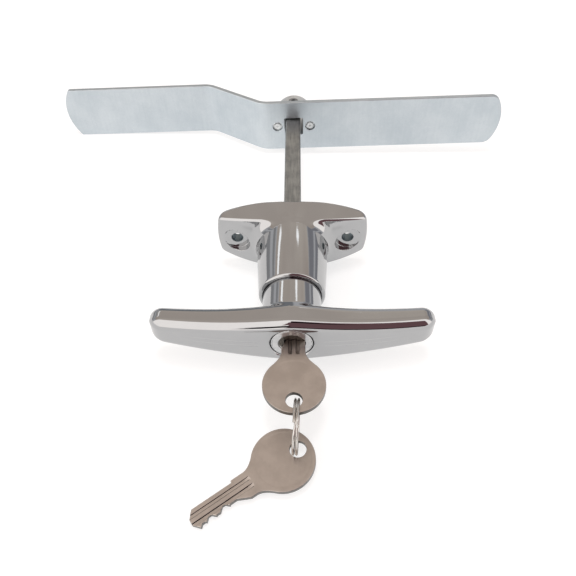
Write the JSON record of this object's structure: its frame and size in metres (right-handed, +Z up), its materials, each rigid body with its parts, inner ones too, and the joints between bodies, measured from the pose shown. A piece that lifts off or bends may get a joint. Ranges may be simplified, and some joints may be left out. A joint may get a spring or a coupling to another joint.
{
  "type": "garage door t handle lock",
  "caption": "Keyed T-handle lock for a garage door: chromed grip and rose, square shaft with a cranked locking bar, key in the plug and a spare on a ring.",
  "frame": {"origin": "on the lock's axis, in the flat back face of the rose, midway between the two screw holes", "axes": "+X along the grip to the right as the user sees it, +Y along the axis into the door, +Z up"},
  "size_m": [0.2439, 0.2327, 0.0354],
  "materials": {
    "chrome": "polished chrome on zinc",
    "steel_shaft": "dull drawn steel",
    "zinc_bar": "zinc plated steel",
    "zinc_hub": "zinc plated steel",
    "nickel_plug": "satin nickel",
    "brass_wafer": "stamped brass",
    "spring_steel": "spring steel",
    "bolt_steel": "machined steel",
    "key_nickel": "satin nickel on brass",
    "ring_steel": "bright steel wire"
  },
  "bodies": {
    "rose": {"rose": "chrome", "stem_washer": "spring_steel"},
    "handle": {"handle": "chrome", "retaining_ring": "spring_steel", "shaft": "steel_shaft", "shaft_pin": "bolt_steel", "locking_bar": "zinc_bar", "bar_hub": "zinc_hub", "hub_screw": "bolt_steel", "bolt_spring": "spring_steel"},
    "lock_bolt": {"lock_bolt": "bolt_steel"},
    "plug": {"plug": "nickel_plug", "wafer_1": "brass_wafer", "wafer_2": "brass_wafer", "wafer_3": "brass_wafer", "wafer_4": "brass_wafer", "wafer_5": "brass_wafer", "wafer_springs": "spring_steel", "retainer_wafer": "brass_wafer"},
    "key": {"key": "key_nickel"},
    "key_ring": {"key_ring": "ring_steel"},
    "spare_key": {"spare_key": "key_nickel"}
  },
  "joints": [
    {"name": "handle_turn", "type": "hinge", "parent": "rose", "child": "handle", "pos_m": [0, 0, 0], "axis": [0, 1, 0], "range_deg": [-90, 90]},
    {"name": "plug_turn", "type": "hinge", "parent": "handle", "child": "plug", "pos_m": [0, 0, 0], "axis": [0, 1, 0], "range_deg": [0, 90]},
    {"name": "bolt_slide", "type": "slide", "parent": "handle", "child": "lock_bolt", "axis": [0, 0, 1], "range_m": [0, 0.00181], "deforming": ["bolt_spring"]},
    {"name": "key_slide", "type": "slide", "parent": "plug", "child": "key", "axis": [0, -1, 0], "range_m": [0, 0.0181]},
    {"name": "ring_swing", "type": "hinge", "parent": "key", "child": "key_ring", "pos_m": [0.0018, -0.0922, -0.0004], "axis": [0.9986, -0.0523, 0], "range_deg": [-60, 3]},
    {"name": "spare_key_swing", "type": "hinge", "parent": "key_ring", "child": "spare_key", "pos_m": [0.00122, -0.10124, -0.01284], "axis": [0.034, 0.642, -0.766], "range_deg": [-56, 16]}
  ],
  "couplings": [
    {"joint": "bolt_slide", "follows": "plug_turn", "m_per_rad": 0.0011459}
  ]
}
